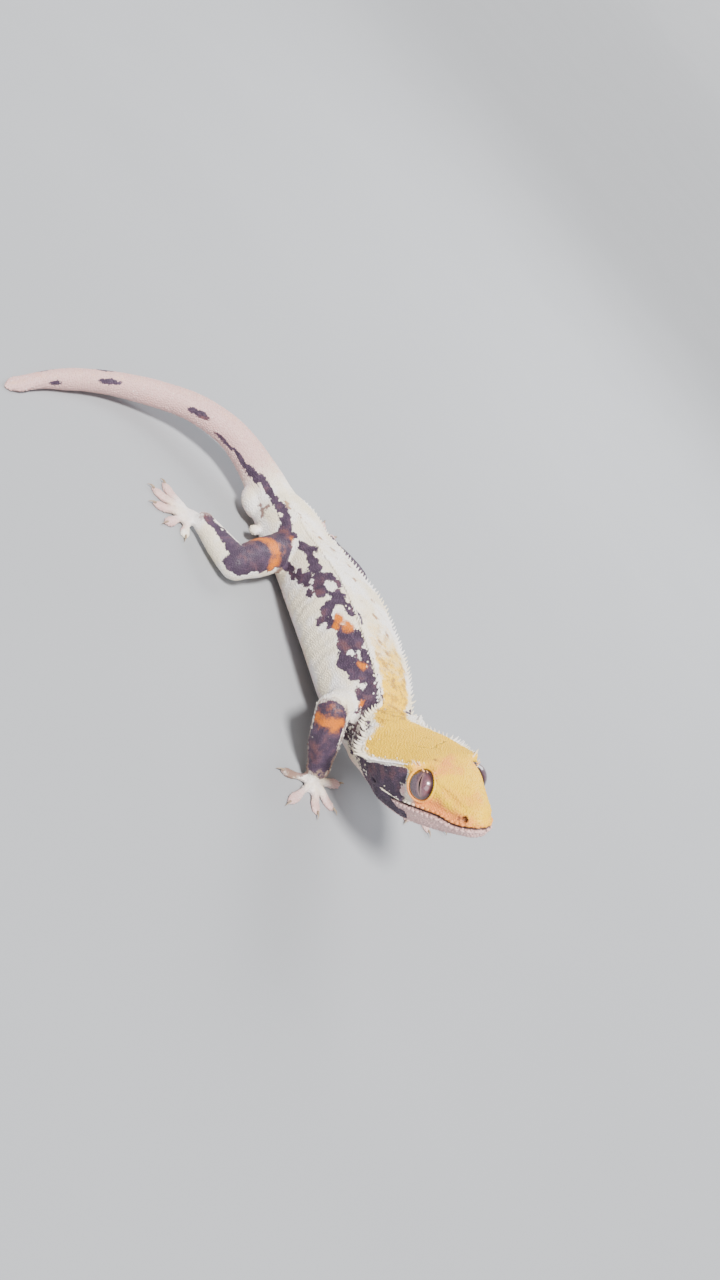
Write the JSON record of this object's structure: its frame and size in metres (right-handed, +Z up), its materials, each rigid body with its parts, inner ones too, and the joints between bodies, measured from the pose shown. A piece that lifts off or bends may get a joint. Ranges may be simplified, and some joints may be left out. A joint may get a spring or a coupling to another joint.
{
  "type": "crested gecko",
  "caption": "Life-size still model of a crested gecko lying flat with its head raised and its tail curled to one side.",
  "frame": {"origin": "on the surface the animal lies on, at the bottom centre of its box", "axes": "+X forward along the hips, +Y to the animal's left, +Z up"},
  "size_m": [0.1458, 0.1064, 0.0408],
  "materials": {
    "crown_skin": "fine granular scales, satin",
    "flank_skin": "fine granular scales, satin",
    "tail_skin": "smooth small scales, satin",
    "limb_skin": "fine granular scales, satin",
    "paw_skin": "soft toe pads, satin",
    "eye": "wet gloss over a patterned iris"
  },
  "bodies": {
    "root": {"head": "crown_skin", "neck": "crown_skin", "torso": "flank_skin", "pelvis": "flank_skin", "tail_base": "tail_skin", "tail_middle": "tail_skin", "tail_tip": "tail_skin", "upper_arm_right": "limb_skin", "forearm_right": "limb_skin", "hand_right": "paw_skin", "thigh_right": "limb_skin", "shank_right": "limb_skin", "foot_right": "paw_skin", "upper_arm_left": "limb_skin", "forearm_left": "limb_skin", "hand_left": "paw_skin", "thigh_left": "limb_skin", "shank_left": "limb_skin", "foot_left": "paw_skin", "eye_right": "eye", "eye_left": "eye"}
  },
  "joints": []
}
